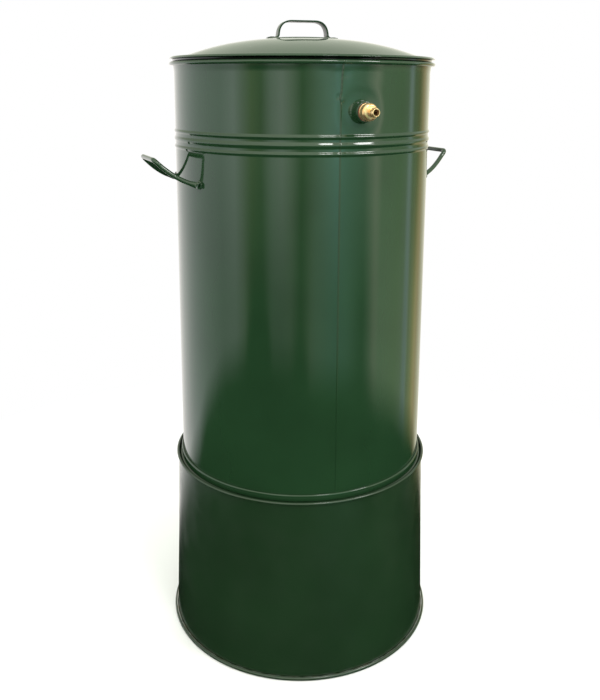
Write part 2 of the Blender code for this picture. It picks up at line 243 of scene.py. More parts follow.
def smooth(x, low, high):
    """0 below low, 1 above high and 3t^2 - 2t^3 between them."""
    t = np.clip((x - low) / (high - low), 0, 1)
    return t * t * (3 - 2 * t)


# ---- surfaces, each a grid of points and whether it wraps along its first and second direction ----
def turned(profile, angles, closed=True, facing="up", at=0, swell=None):
    """A profile carried round an axis: (r + swell) cos a, (r + swell) sin a, height."""
    radius, height = profile[:, :1], profile[:, 1:] + 0 * angles
    if swell is not None:
        radius = radius + swell(angles, height) * (radius > 1)
    local = np.stack([radius * np.cos(angles), radius * np.sin(angles), height], -1)
    return local @ np.array(FACINGS[facing]) + (0, AXIS_Y, at), closed, True


def laid_along(path, side, rise, section, scale):
    """A section at each point of a path: path + across * side + over * rise, each stretched by scale."""
    across = section[None, :, 0, None] * scale[:, :1, None]
    over = section[None, :, 1, None] * scale[:, 1:, None]
    return path[:, None] + across * side + over * rise


def carried(path, section, up, scale, closed=False, run=None):
    """A section carried along a path, where side is square to the path and to up, and rise is square to both.
    scale holds the section's two stretches at each point. run gives the path's directions, for a path that
    turns back into its own end."""
    if run is None:
        run = np.roll(path, -1, 0) - np.roll(path, 1, 0) if closed else np.gradient(path, axis=0)
    run = unit(run)
    side = unit(np.cross(run, up))
    rise = np.cross(side, run)
    return laid_along(path, side[:, None], rise[:, None], section, scale), closed, True


def tube(path, section, up):
    """A section carried along a path and closed to a point a hair past each end."""
    first = path[:1] + (path[:1] - path[1:2]) * HAIR
    last = path[-1:] + (path[-1:] - path[-2:-1]) * HAIR
    scale = np.ones((len(path) + 2, 2))
    scale[[0, -1]] = 0
    return carried(np.concatenate([first, path, last]), section, up, scale)


def domed_ends(path, scale, rim):
    """The path and stretches with both ends drawn in to a point over a quarter circle of the rim's size."""
    turn = np.linspace(0, math.pi / 2, 5)[::-1, None]
    first = path[0] + unit(path[0] - path[1]) * rim * np.sin(turn)
    last = path[-1] + unit(path[-1] - path[-2]) * rim * np.sin(turn)[::-1]
    shrink = 1 - 0.3 * (1 - np.cos(turn))
    shrink[0] = 0
    ends = scale[0] * shrink, scale[-1] * shrink[::-1]
    return np.concatenate([first, path, last]), np.concatenate([ends[0], scale, ends[1]])


def grid_quads(count_u, count_v, wrap_u, wrap_v):
    u = np.arange(count_u if wrap_u else count_u - 1)
    v = np.arange(count_v if wrap_v else count_v - 1)
    u, v = np.meshgrid(u, v, indexing="ij")
    on_u, on_v = (u + 1) % count_u, (v + 1) % count_v
    corners = (u * count_v + v, on_u * count_v + v, on_u * count_v + on_v, u * count_v + on_v)
    return np.stack(corners, -1).reshape(-1, 4)


def new_mesh(name, surfaces):
    """A mesh of the surfaces in metres: doubles merged at poles and seams, and faces turned outwards."""
    points, quads, count = [], [], 0
    for grid, wrap_u, wrap_v in surfaces:
        points.append(grid.reshape(-1, 3) * MM)
        quads.append(grid_quads(grid.shape[0], grid.shape[1], wrap_u, wrap_v) + count)
        count += len(points[-1])
    quads = np.concatenate(quads).astype(np.int32)
    mesh = bpy.data.meshes.new(name)
    mesh.vertices.add(count)
    mesh.vertices.foreach_set("co", np.concatenate(points).astype(np.float32).ravel())
    mesh.loops.add(quads.size)
    mesh.loops.foreach_set("vertex_index", quads.ravel())
    mesh.polygons.add(len(quads))
    mesh.polygons.foreach_set("loop_start", np.arange(0, quads.size, 4, dtype=np.int32))
    mesh.update(calc_edges=True)
    bm = bmesh.new()
    bm.from_mesh(mesh)
    bmesh.ops.remove_doubles(bm, verts=bm.verts, dist=1e-7)
    bmesh.ops.dissolve_degenerate(bm, edges=bm.edges, dist=1e-8)
    bmesh.ops.recalc_face_normals(bm, faces=bm.faces)
    bm.to_mesh(mesh)
    bm.free()
    return mesh


def shade(mesh, angle):
    mesh.shade_smooth()
    mesh.set_sharp_from_angle(angle=math.radians(angle))


def link_object(name, mesh):
    obj = bpy.data.objects.new(name, mesh)
    bpy.context.scene.collection.objects.link(obj)
    return obj


def carved(mesh, joins=(), cuts=()):
    """The mesh with other surfaces joined to it and cut from it."""
    body = link_object("blank", mesh)
    tools = []
    for operation, group in (("UNION", joins), ("DIFFERENCE", cuts)):
        for surfaces in group:
            tool = link_object("tool", new_mesh("tool", surfaces))
            tool.hide_render = True
            modifier = body.modifiers.new(operation, "BOOLEAN")
            modifier.operation = operation
            modifier.object = tool
            tools.append(tool)
    depsgraph = bpy.context.evaluated_depsgraph_get()
    result = bpy.data.meshes.new_from_object(body.evaluated_get(depsgraph))
    for obj in (body, *tools):
        bpy.data.objects.remove(obj)
    return result


def finish_piece(name, mesh, finish, body, nodes, angle=38):
    """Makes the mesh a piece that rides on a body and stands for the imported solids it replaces."""
    mesh.name = name
    mesh.materials.clear()
    mesh.materials.append(bpy.data.materials[finish])
    shade(mesh, angle)
    obj = link_object(name, mesh)
    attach(obj, body)
    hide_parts(*nodes)


# ---- finishes ----
def new_material(name, metallic=0.0, roughness=0.5):
    material = bpy.data.materials.new(name)
    material.use_nodes = True
    shader = material.node_tree.nodes["Principled BSDF"]
    shader.inputs["Metallic"].default_value = metallic
    shader.inputs["Roughness"].default_value = roughness
    return material.node_tree, shader


def made(tree, kind, inputs=None, **settings):
    """Outputs of a new shader node. Each input is a number, a vector or another node's output."""
    node = tree.nodes.new("ShaderNode" + kind)
    for name, value in settings.items():
        setattr(node, name, value)
    for name, value in (inputs or {}).items():
        if isinstance(value, bpy.types.NodeSocket):
            tree.links.new(value, node.inputs[name])
        else:
            node.inputs[name].default_value = value
    return node.outputs


def noise(tree, scale, detail=2.0, stretch=(1, 1, 1)):
    """Noise on the object's own coordinates, scale in features per metre."""
    place = made(tree, "TexCoord")["Object"]
    place = made(tree, "Mapping", {"Vector": place, "Scale": stretch})["Vector"]
    return made(tree, "TexNoise", {"Vector": place, "Scale": scale, "Detail": detail})["Fac"]


def ranged(tree, value, low, high, from_low=0.3, from_high=0.7):
    ends = {"From Min": from_low, "From Max": from_high, "To Min": low, "To Max": high}
    return made(tree, "MapRange", {"Value": value, **ends})["Result"]


def ramp(tree, value, stops):
    """A colour ramp; stops are (place, colour)."""
    node = tree.nodes.new("ShaderNodeValToRGB")
    elements = node.color_ramp.elements
    while len(elements) < len(stops):
        elements.new(0.5)
    for element, (place, colour) in zip(elements, stops):
        element.position = place
        element.color = (*colour, 1)
    tree.links.new(value, node.inputs["Fac"])
    return node.outputs["Color"]


def bump(tree, height, distance, strength, under=None):
    """Relief of a height in metres, on top of another relief if one is given."""
    inputs = {"Height": height, "Distance": distance, "Strength": strength}
    if under is not None:
        inputs["Normal"] = under
    return made(tree, "Bump", inputs)["Normal"]


def tint(colour, factor):
    return tuple(channel * factor for channel in colour)


def painted_shade_below(tree, colour, low, high):
    """The colour with painted shade below a height: almost black at low and unshaded from high upwards."""
    height = made(tree, "SeparateXYZ", {"Vector": made(tree, "TexCoord")["Object"]})["Z"]
    unshaded = ranged(tree, height, 0.05, 1, low * MM, high * MM)
    return made(tree, "VectorMath", {0: colour, "Scale": unshaded}, operation="SCALE")["Vector"]


def paint(name, colour, roughness, peel, gloss=0.5, hem_shade=None):
    """Sprayed paint: clouded green, a faint orange peel and the sheet's own unevenness under it. An optional
    pair of heights adds painted shade: black below the first and unshaded from the second upwards."""
    tree, shader = new_material(name)
    shader.inputs["Specular IOR Level"].default_value = gloss
    clouds = ramp(tree, noise(tree, 7, 4), [(0.3, tint(colour, 0.86)), (0.7, tint(colour, 1.14))])
    # Painted shade: the colour darkens to almost black below the given heights.
    if hem_shade:
        clouds = painted_shade_below(tree, clouds, *hem_shade)
    tree.links.new(clouds, shader.inputs["Base Color"])
    rough = ranged(tree, noise(tree, 30, 5), roughness * 0.8, roughness * 1.3)
    tree.links.new(rough, shader.inputs["Roughness"])
    sheet = bump(tree, noise(tree, 14, 1, (1, 1, 0.35)), 0.0012, peel)
    skin = bump(tree, noise(tree, 420, 2), 0.00003, peel, sheet)
    tree.links.new(skin, shader.inputs["Normal"])


def metal(name, colour, roughness, grain, stretch):
    """Bare metal: darker, browner clouds in the bright colour, and fine marks along the tool's way."""
    tree, shader = new_material(name, metallic=0.85)
    dull = (colour[0] * 0.72, colour[1] * 0.62, colour[2] * 0.5)
    clouds = ramp(tree, noise(tree, 130, 4), [(0.32, dull), (0.58, tuple(colour))])
    tree.links.new(clouds, shader.inputs["Base Color"])
    rough = ranged(tree, noise(tree, 260, 3), roughness * 0.7, roughness * 1.5)
    tree.links.new(rough, shader.inputs["Roughness"])
    marks = bump(tree, noise(tree, grain, 2, stretch), 0.00004, 0.6)
    tree.links.new(marks, shader.inputs["Normal"])


def fibre(name, colour):
    tree, shader = new_material(name)
    flecks = ramp(tree, noise(tree, 900, 3), [(0.35, tint(colour, 0.5)), (0.65, tint(colour, 1.3))])
    tree.links.new(flecks, shader.inputs["Base Color"])
    tree.links.new(ranged(tree, noise(tree, 500), 0.7, 0.9), shader.inputs["Roughness"])
    tree.links.new(bump(tree, noise(tree, 1500), 0.0001, 0.5), shader.inputs["Normal"])


def make_finishes(colours):
    paint("gloss_paint", colours.gloss_green, 0.07, 0.25)
    paint("satin_paint", colours.satin_green, 0.2, 0.12)
    paint("rubbed_paint", colours.gloss_green, 0.24, 0.12, 0.12)
    # The lid's paint carries painted shade: black in the slot under its folded hem, below LID_LOW + 3.2 mm.
    paint("lid_paint", colours.gloss_green, 0.07, 0.25, hem_shade=(LID_LOW + 3.2, LID_LOW + 3.8))
    metal("turned_brass", colours.brass, 0.22, 40, (1, 40, 1))
    metal("cast_brass", colours.brass, 0.27, 900, (1, 1, 1))
    metal("zinc_plate", colours.zinc, 0.33, 700, (1, 1, 1))
    fibre("sealing_fibre", colours.fibre)
    for node in ("barrel_rim_wire", "plinth_rim_wire", "plinth_foot_wire"):
        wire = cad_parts[node].data
        wire.materials.clear()
        wire.materials.append(bpy.data.materials["zinc_plate"])


# ---- plinth ----
def plinth_radius(z):
    """Middle of the plinth's sheet: straight from its foot to its rim."""
    return PLINTH_FOOT_R + (PLINTH_TOP_R - PLINTH_FOOT_R) * z / PLINTH_TOP


def plinth_swell(angle, height):
    """The rolled sheet's unevenness: two slow waves round the wall that fade at its stiff rolled edges."""
    free = smooth(height, 5, 60) * (1 - smooth(height, 240, 285))
    return free * (0.16 * np.sin(3 * angle + height / 90) + 0.07 * np.sin(7 * angle - height / 55))


def make_plinth():
    """The wall's sheet, curled outwards round a wire at its foot and at its rim."""
    foot_z = FOOT_CURL + SHEET / 2
    top_z = PLINTH_TOP - TOP_CURL - SHEET / 2
    foot_half = FOOT_CURL + 0.2
    foot = (plinth_radius(foot_z) + foot_half, foot_z)
    top = (plinth_radius(top_z) + TOP_CURL, top_z)
    heights = np.linspace(foot_z + 1.5, top_z - 1, 34)
    wall = np.stack([plinth_radius(heights), heights], -1)
    path = np.concatenate([curl(foot, (foot_half, FOOT_CURL), 75, -180, 26), wall,
                           curl(top, (TOP_CURL, TOP_CURL), 180, -75, 22)])
    mesh = new_mesh("plinth", [turned(strip(path, SHEET), even(256), swell=plinth_swell)])
    finish_piece("plinth_sheet", mesh, "satin_paint", "plinth", ["plinth_wall"])


def make_ledge():
    """The ring inside the plinth's rim: a skirt up the wall, a flat shelf and a short turned-down lip."""
    low, high = span("plinth_ledge")
    sheet, inner, lip = 1.5, 183.0, 7
    top = high[2] - sheet / 2
    corners = [(high[0] - sheet / 2, low[2] + 1), (plinth_radius(top) - 1.6, top), (inner, top),
               (inner, top - lip)]
    path = softened(corners, [0, 4, 2.5, 0], 8, closed=False)
    mesh = new_mesh("ledge", [turned(strip(path, sheet), even(192))])
    finish_piece("plinth_ledge_ring", mesh, "satin_paint", "plinth", ["plinth_ledge"])


# ---- barrel ----
def bead_swell(height, rise):
    """Each bead is a raised cosine across its width."""
    total = 0 * height
    for place, half in BEADS:
        t = np.clip((height - place) / half, -1, 1)
        total = total + rise * (0.5 + 0.5 * np.cos(math.pi * t))
    return total


def bump_field(along, height, places):
    """Sum of round dents and bulges: depth * exp(-(distance / size)^2)."""
    total = 0 * height
    for x, z, size, depth in places:
        total = total + depth * np.exp(-((along - x)**2 + (height - z)**2) / size**2)
    return total


def seam_swell(along, height, step):
    """The lapped seam: a step that fades away to one side, and a rippled ridge of weld along it."""
    lap = step * smooth(along, -0.6, 0.4) * np.exp(-np.clip(along, 0, None) / 26)
    ripple = 1 + 0.3 * np.sin(0.8 * height) * smooth(height, 840, 850)
    ridge = ripple * (0.3 + 0.8 * smooth(height, KINK_Z - 4, KINK_Z + 4)) * np.exp(-(along / 0.65)**2)
    return (lap + ridge) * (1 - 0.5 * smooth(height, 922, 928))


def wall_swell(angle, height, sizes):
    """How far the wall stands off its true radius: beads, the seam with the hammer marks beside it, the
    pull of the socket's weld, and the slow waves of rolled sheet."""
    radius = millimetres(sizes.barrel_radius)
    kink = 2.6 * np.clip((height - KINK_Z) / 46, 0, 1) - 0.9 * np.exp(-((height - KINK_Z) / 5)**2)
    along = ((angle - SEAM + math.pi) % TAU - math.pi) * radius - kink
    seam = seam_swell(along, height, millimetres(sizes.seam_height))
    pull = np.hypot((angle + math.pi / 2) * radius, height - HOSE_Z)
    welded = -0.45 * np.exp(-((pull - 24) / 8)**2) + 0.25 * np.exp(-((pull - 38) / 9)**2)
    slow = 0.1 * np.sin(4 * angle + 0.7 + height / 310) + 0.05 * np.sin(9 * angle + height / 170)
    below_rim = 1 - smooth(height, 915, 928)
    beads = bead_swell(height, millimetres(sizes.bead_rise))
    return beads + seam + bump_field(along, height, HAMMER_MARKS) + (welded + slow) * below_rim


def barrel_angles():
    """Even steps round the wall, with fine ones across the seam."""
    beside = np.array([3.4, 4.4, 5.6, 7])
    fine = SEAM + np.radians(np.concatenate([-beside[::-1], np.linspace(-2.6, 2.6, 53), beside]))
    coarse = even(180) - math.pi
    coarse = coarse[np.abs(coarse - SEAM) > math.radians(8)]
    return np.sort(np.concatenate([coarse, fine]))


def make_wall(sizes):
    """The barrel's sheet, flared into its rim's curl and bored behind each socket."""
    middle_r = millimetres(sizes.barrel_radius) - SHEET / 2
    heights = np.concatenate([np.linspace(FOOT_Z + 0.6, 790, 34), np.linspace(799, 836, 56),
                              np.linspace(838.5, RIM_Z - 1.5, 56)])
    neck = (RIM_R - CURL_X - middle_r) * smooth(heights, RIM_Z - 14, RIM_Z - 1)
    wall = np.stack([middle_r + neck, heights], -1)
    path = np.concatenate([wall, curl((RIM_R, RIM_Z), (CURL_X, CURL_Z), 180, -130, 22)])
    shell = turned(strip(path, SHEET), barrel_angles(), swell=lambda a, z: wall_swell(a, z, sizes))
    bore = np.array([(0, 190.0), (SOCKET_BORE, 190.0), (SOCKET_BORE, 208.0), (0, 208.0)])
    holes = [[turned(bore, even(48), False, facing, height)] for _, facing, height in PORTS]
    mesh = carved(new_mesh("wall", [shell]), cuts=holes)
    finish_piece("barrel_sheet", mesh, "gloss_paint", "barrel", ["barrel_wall"])


def make_pan():
    """The barrel's floor: a flat disc, a sloping edge and a skirt down to the wall's foot."""
    skirt = span("barrel_bottom")[1][0] - SHEET / 2
    top = FLOOR_TOP - SHEET / 2
    corners = [(0, top), (90, top), (skirt - 16, top), (skirt, FLOOR_TOP - 3), (skirt, FOOT_Z + 0.7)]
    path = softened(corners, [0, 0, 6, 4, 0], 9, closed=False)
    mesh = new_mesh("pan", [turned(strip(path, SHEET, from_axis=True), even(160), closed=False)])
    finish_piece("barrel_floor_pan", mesh, "gloss_paint", "barrel", ["barrel_bottom"])


def make_chime():
    """The folded band round the wall's foot, well rounded at its upper edge."""
    inner = 200.3
    corners = [(inner, FOOT_Z), (CHIME_R, FOOT_Z), (CHIME_R, CHIME_TOP), (inner, CHIME_TOP)]
    band = turned(softened(corners, [0.3, 1.2, 2.5, 0.3], 12, most=0.85), even(256))
    finish_piece("barrel_chime", new_mesh("chime", [band]), "gloss_paint", "barrel", ["barrel_chime_band"])


# ---- side handles ----
def handle_path(side, sizes):
    """Middle of the bar: a tapering loop whose height grows as slope * out + growth * out^2."""
    half_foot, half_grip = millimetres(sizes.foot_spacing) / 2, millimetres(sizes.grip_length) / 2
    start = math.sqrt(millimetres(sizes.barrel_radius)**2 - half_foot**2)
    reach = HANDLE_REACH - HANDLE_CORNER
    arm = softened([(2.2, half_foot + 4.5), (3.4, half_foot - 2.5), (reach, half_grip)], [0, 7, 0], 9, False)
    arm = np.concatenate([np.linspace(arm[0], arm[1], 4)[:-1], arm[1:-1], np.linspace(arm[-2], arm[-1], 18)])
    turn = np.linspace(0, math.pi / 2, 9)[1:]
    bend = np.stack([reach + HANDLE_CORNER * np.sin(turn),
                     half_grip - HANDLE_CORNER * (1 - np.cos(turn))], -1)
    grip = np.stack([np.full(9, HANDLE_REACH), np.linspace(bend[-1, 1], 0, 10)[1:]], -1)
    flat = np.concatenate([arm, bend, grip])
    flat = np.concatenate([flat, flat[-2::-1] * (1, -1)])
    rise = HANDLE_SLOPE * flat[:, 0] + HANDLE_GROWTH * flat[:, 0]**2
    return np.stack([side * (start + flat[:, 0]), flat[:, 1] + AXIS_Y, HANDLE_Z + rise], -1)


def handle_weld(side, end, sizes):
    """The weld round a foot: a rippled tube on an oval in the wall's surface."""
    u = even(72)
    wall_r = millimetres(sizes.barrel_radius)
    foot = math.asin(millimetres(sizes.foot_spacing) / 2 / wall_r)
    angle = end * (foot + (5.0 * np.cos(u) - 1.0) / wall_r)
    z = HANDLE_Z + 0.8 + 5.0 * np.sin(u)
    path = np.stack([side * (wall_r + 0.1) * np.cos(angle), (wall_r + 0.1) * np.sin(angle) + AXIS_Y, z], -1)
    blob = 0.9 * np.exp(-((u - 1.5) / 0.5)**2)
    ripple = 1 + 0.2 * np.sin(9 * u) + blob
    outwards = (side * math.cos(foot), end * math.sin(foot), 0)
    return carried(path, circle(1.25, 12), outwards, np.stack([ripple, ripple], -1), closed=True)


def make_side_handle(side, name, sizes):
    """The bar is pressed flatter towards its feet, and each foot ends in a cut, hollow tube end."""
    path = handle_path(side, sizes)
    length = np.concatenate([[0], np.cumsum(np.linalg.norm(np.diff(path, axis=0), axis=1))])
    pressed = 1 - smooth(np.minimum(length, length[-1] - length), 4, 20)
    scale = np.stack([1 - 0.16 * pressed, 1 + 0.42 * pressed], -1)
    depths, shares = TUBE_END[:, :1], TUBE_END[:, 1:]
    first = path[0] + unit(path[1] - path[0]) * depths
    last = path[-1] + unit(path[-2] - path[-1]) * depths[::-1]
    run = np.gradient(path, axis=0)
    count = len(TUBE_END)
    run = np.concatenate([np.repeat(run[:1], count, 0), run, np.repeat(run[-1:], count, 0)])
    path = np.concatenate([first, path, last])
    scale = np.concatenate([scale[0] * shares, scale, scale[-1] * shares[::-1]])
    section = circle(millimetres(sizes.bar_radius), 28)
    bar = carried(path, section, (-0.3 * side, 0, 0.95), scale, run=run)
    welds = [handle_weld(side, end, sizes) for end in (-1, 1)]
    finish_piece(name + "_bar", new_mesh(name, [bar, *welds]), "gloss_paint", "barrel", [name])


# ---- sockets and hose tail ----
def weld_swell(angle, out):
    """A laid weld: ripples round the foot of the fillet that die out 4 mm from the wall."""
    return (0.25 * np.sin(29 * angle) + 0.2 * np.sin(5 * angle + 1)) * (1 - smooth(out, 0.5, 4)) * (out > -1)


def make_socket(name, facing, height, sizes):
    """A turned, bored boss on the wall, with the fillet of its weld round its foot."""
    wall_r = millimetres(sizes.barrel_radius)
    outer, foot = SOCKET_R - 0.3, wall_r - 1
    corners = [(SOCKET_BORE, foot), (SOCKET_R + 3.2, foot), (SOCKET_R + 0.9, wall_r + 1.8),
               (outer, wall_r + 7), (outer, SOCKET_FACE), (SOCKET_BORE, SOCKET_FACE)]
    profile = softened(corners, [0, 0.8, 3, 2, 1.4, 0.8], 9)
    body = turned(profile, even(120), facing=facing, at=height,
                  swell=lambda angle, out: weld_swell(angle, out - wall_r))
    finish_piece(name + "_boss", new_mesh(name, [body]), "gloss_paint", "barrel", [name])


def make_washer(name, facing, height):
    inner, outer = SOCKET_BORE, 12.4
    low, high = SOCKET_FACE + 0.1, FLANGE_BACK - 0.1
    profile = softened([(inner, low), (outer, low), (outer, high), (inner, high)], 0.35, 5)
    ring = turned(profile, even(72), facing=facing, at=height)
    finish_piece(name + "_ring", new_mesh(name, [ring]), "sealing_fibre", "barrel", [name])


def make_hose_tail():
    """Turned fitting: shank, flange, grooved collar, neck, barb and bored tip. Each corner holds its radius,
    its place along the axis and its cut."""
    back = FLANGE_BACK
    bore, collar, neck, barb = 4.35, 12.15, 5.4, 6.65
    groove = collar - 1.2
    corners = [(bore, SHANK_IN, 0.3), (SHANK_R, SHANK_IN, 0.8), (SHANK_R, back, 0), (collar, back, 0.3),
               (collar, back + 1.7, 0.3), (groove, back + 2.1, 0.2), (groove, back + 2.5, 0.2),
               (collar, back + 3.0, 0.5), (collar, back + 9.6, 1.5), (collar - 2.0, back + 12.3, 1.2),
               (neck, back + 13.0, 0.6), (neck, back + 18.8, 0.8), (barb, back + 20.6, 0.8),
               (barb, back + 22.6, 0.8), (barb - 1.1, HOSE_END, 0.5), (bore, HOSE_END, 0.35)]
    corners = np.array(corners)
    profile = softened(corners[:, :2], corners[:, 2], 6)
    mesh = new_mesh("hose_tail", [turned(profile, even(96), facing="front", at=HOSE_Z)])
    finish_piece("hose_tail_turned", mesh, "turned_brass", "barrel", ["hose_tail"])


# ---- tap ----
def rod(corners, cut, facing, at, count=64, offset=(0, 0, 0)):
    """A solid turned from corners that start and end on its axis."""
    grid, closed, wrap = turned(softened(corners, cut, 6, closed=False), even(count), False, facing, at)
    return [(grid + np.array(offset), closed, wrap)]


def plain_rod(radius, low, high, facing, at, count, offset=(0, 0, 0)):
    return rod([(0, low), (radius, low), (radius, high), (0, high)], 0, facing, at, count, offset)


def on_stem(corners, cut, count=64):
    """A solid turned round the tap's stem, with its heights from the middle of the tap."""
    return rod(corners, cut, "up", TAP_Z, count, (0, TAP_STEM, 0))


def stem_bore(radius, low, high, count):
    return on_stem([(0, low), (radius, low), (radius, high), (0, high)], 0, count)


def make_tap_body():
    """Shank, hexagon, neck, plug chamber, bent spout and lip cast in one and bored for the water."""
    back = FLANGE_BACK
    shank = rod([(0, SHANK_IN), (SHANK_R, SHANK_IN), (SHANK_R, back + 1), (0, back + 1)], [0, 0.8, 0, 0],
                "back", TAP_Z)
    flat, across = 12.4, 13.3
    hexagon = rod([(0, back), (flat, back), (across, back + 0.8), (across, back + 6.2), (flat, back + 7),
                   (0, back + 7)], 0, "back", TAP_Z, 6)
    neck_r = 8.5
    neck = rod([(0, back + 5), (9.6, back + 5), (neck_r, back + 9), (neck_r, TAP_STEM), (0, TAP_STEM)],
               [0, 0.5, 2, 0, 0], "back", TAP_Z)
    chamber_r = 12.5
    chamber = on_stem([(0, -14), (10, -14), (chamber_r, -9), (chamber_r, 9), (11, 13), (0, 13)],
                      [0, 1, 3, 3, 0.6, 0])
    lip_r, spout_r, way_r = 9.5, 8.0, 5.5
    spout_y = TAP_END - lip_r
    bend = spout_y - TAP_STEM - 10
    lip_low = span("tap_body")[0][2]
    turn = np.linspace(math.pi / 2, 0, 14)
    elbow = np.stack([0 * turn, spout_y - bend + bend * np.cos(turn), TAP_Z - bend + bend * np.sin(turn)], -1)
    route = np.concatenate([[(0, TAP_STEM, TAP_Z)], elbow, [(0, spout_y, lip_low + 4)]]) + (0, AXIS_Y, 0)
    spout = [tube(route, circle(spout_r, 40), X)]
    lip = rod([(0, lip_low), (lip_r, lip_low), (lip_r, lip_low + 5), (0, lip_low + 5)], [0, 1.0, 1.4, 0],
              "up", 0, offset=(0, spout_y, 0))
    water = np.concatenate([route[:-1], [(0, spout_y + AXIS_Y, lip_low - 6)]])
    way = [tube(water, circle(way_r, 32), X)]
    inlet = plain_rod(5, SOCKET_FACE - 12, TAP_STEM, "back", TAP_Z, 40)
    seat = stem_bore(7.8, -10, 30, 56)
    mesh = carved(new_mesh("tap", shank), (hexagon, neck, chamber, spout, lip), (inlet, way, seat))
    finish_piece("tap_body_casting", mesh, "cast_brass", "barrel", ["tap_body"], 30)


def make_gland_and_plug():
    """The hexagon that holds the plug down, and the plug with its stem and the water's way across it."""
    nut = on_stem([(0, 13.3), (10.0, 13.3), (10.5, 13.8), (10.5, 17.8), (9.2, 19), (0, 19)], 0, 6)
    nut = carved(new_mesh("nut", nut), cuts=[stem_bore(4, 5, 30, 40)])
    finish_piece("tap_gland_hexagon", nut, "cast_brass", "barrel", ["tap_gland_nut"], 25)
    plug_r, stem_r = 7.5, 3.7
    plug = on_stem([(0, -9.5), (plug_r, -9.5), (plug_r, 9.5), (stem_r, 12), (stem_r, 23.5), (0, 23.5)],
                   [0, 0.6, 0.6, 0.6, 0.4, 0], 56)
    way = np.array([(x, TAP_STEM + AXIS_Y, TAP_Z) for x in (-12.0, -6.0, 6.0, 12.0)])
    plug = carved(new_mesh("plug", plug), cuts=[[tube(way, circle(4.5, 40), Z)]])
    finish_piece("tap_plug_turned", plug, "turned_brass", "tap_handle", ["tap_plug"], 30)


def make_lever_and_screw():
    """A flat arm with a round end, narrowed along its middle, on a bored hub, and its slotted screw."""
    end_r = 5.5
    end_x = LEVER_END - end_r
    turn = np.linspace(0.2, math.pi / 2, 9)
    x = np.concatenate([[0.0], np.linspace(0, end_x, 18), end_x + end_r * np.sin(turn)])
    half = np.where(x > end_x, np.sqrt(np.clip(end_r**2 - (x - end_x)**2, 0, None)), end_r) / end_r
    half[0] = 0
    waist = 1 - 0.14 * np.sin(math.pi * np.clip((x - 8) / (LEVER_END - 16), 0, 1))
    scale = np.stack([half * waist, np.where(half > 0, 1, 0)], -1)
    path = np.stack([x, 0 * x + TAP_STEM + AXIS_Y, 0 * x + TAP_Z + 25.3], -1)
    path[0, 0] -= 1e-3
    arm = [carried(path, bar_section(2 * end_r, 3.4, 1.1), Z, scale)]
    hub = on_stem([(0, 20), (7, 20), (7, 27), (0, 27)], [0, 0.8, 1.0, 0])
    socket, screw_hole = stem_bore(4, 18, 23.8, 40), stem_bore(2.3, 18, 31, 32)
    lever = carved(new_mesh("lever", hub), [arm], [socket, screw_hole])
    finish_piece("tap_lever_arm", lever, "gloss_paint", "tap_handle", ["tap_lever"], 30)
    screw = on_stem([(0, 23.8), (2.0, 23.8), (2.0, 27.3), (4.2, 27.3), (3.4, 29.2), (0, 29.8)],
                    [0, 0.2, 0, 0.3, 1, 0], 48)
    slit = np.array([(0, TAP_STEM + AXIS_Y + y, TAP_Z + 30) for y in (-6.0, 6.0)])
    screw = carved(new_mesh("screw", screw), cuts=[[tube(slit, bar_section(0.9, 3.0, 0), Z)]])
    finish_piece("tap_screw_slotted", screw, "zinc_plate", "tap_handle", ["tap_lever_screw"], 30)


# ---- lid ----
def dome(radius):
    """Height of the lid's sheet: a cap of a large sphere, flattened into a raised middle by a smooth step."""
    edge = math.sqrt(DOME_R**2 - LIP_R**2)
    cap = LIP_Z + np.sqrt(DOME_R**2 - np.minimum(radius, LIP_R)**2) - edge
    cap = cap + DOME_FULLNESS * np.sin(math.pi * np.clip((radius - PLATEAU_R) / (LIP_R - PLATEAU_R), 0, 1))
    top = CROWN - SHEET / 2
    blend = smooth(radius, PLATEAU_R - 1.2, PLATEAU_R + 2.2)
    return top * (1 - blend) + cap * blend


def lid_swell(angle, height):
    """The lip is slightly out of round."""
    return 0.12 * np.sin(3 * angle + 0.4) * (1 - smooth(height, 936, 942))


def rivet_places():
    """The rivets' places from the lid's middle, turned with the strap."""
    cos, sin = math.cos(STRAP_TURN), math.sin(STRAP_TURN)
    return [np.array(place) @ np.array([[cos, sin], [-sin, cos]]) for place in RIVET_PLACES]


def rivet_holes(low, high):
    return [plain_rod(RIVET_HOLE, low, high, "up", CROWN, 24, (x, y, 0)) for x, y in rivet_places()]


def make_lid():
    """The dome's sheet, its sloping brim and the hem folded back under the brim's edge."""
    radii = np.concatenate([np.linspace(0, PLATEAU_R - 2.5, 12),
                            np.linspace(PLATEAU_R - 1.8, PLATEAU_R + 3, 12),
                            np.linspace(PLATEAU_R + 6, LIP_R - 6, 44)])
    top = np.stack([radii, dome(radii)], -1)
    low = LID_LOW + SHEET / 2
    brim = [(LIP_R - 3, dome(np.array(LIP_R - 3.0))), (LIP_R + 3, LIP_Z - 0.6), (LID_EDGE_R - 3.4, low + 6.5)]
    fold = [(LID_EDGE_R - 0.1, low + 3.7), (LID_EDGE_R - 4.6, low + 2.9), (LID_EDGE_R - 5.2, low)]
    hem = softened(brim + fold, [0, 3, 3, 0.5, 0.8, 0], 9, closed=False)
    outline = strip(np.concatenate([top, hem]), SHEET, from_axis=True)
    shell = turned(outline, even(224), closed=False, swell=lid_swell)
    mesh = carved(new_mesh("lid", [shell]), cuts=rivet_holes(-6, 6))
    finish_piece("lid_sheet", mesh, "lid_paint", "lid", ["lid_shell"])
    ring = bar_section(SHEET, RING_HIGH - RING_LOW, 0.4) + (RING_R - SHEET / 2, (RING_LOW + RING_HIGH) / 2)
    mesh = new_mesh("ring", [turned(ring, even(192))])
    finish_piece("lid_ring", mesh, "gloss_paint", "lid", ["lid_locating_ring"])


def foot_thinning(x):
    """The feet are pressed to just over half the strap's thickness."""
    return 1 - 0.45 * smooth(np.abs(x), STRAP_HALF + 3, STRAP_HALF + 7)


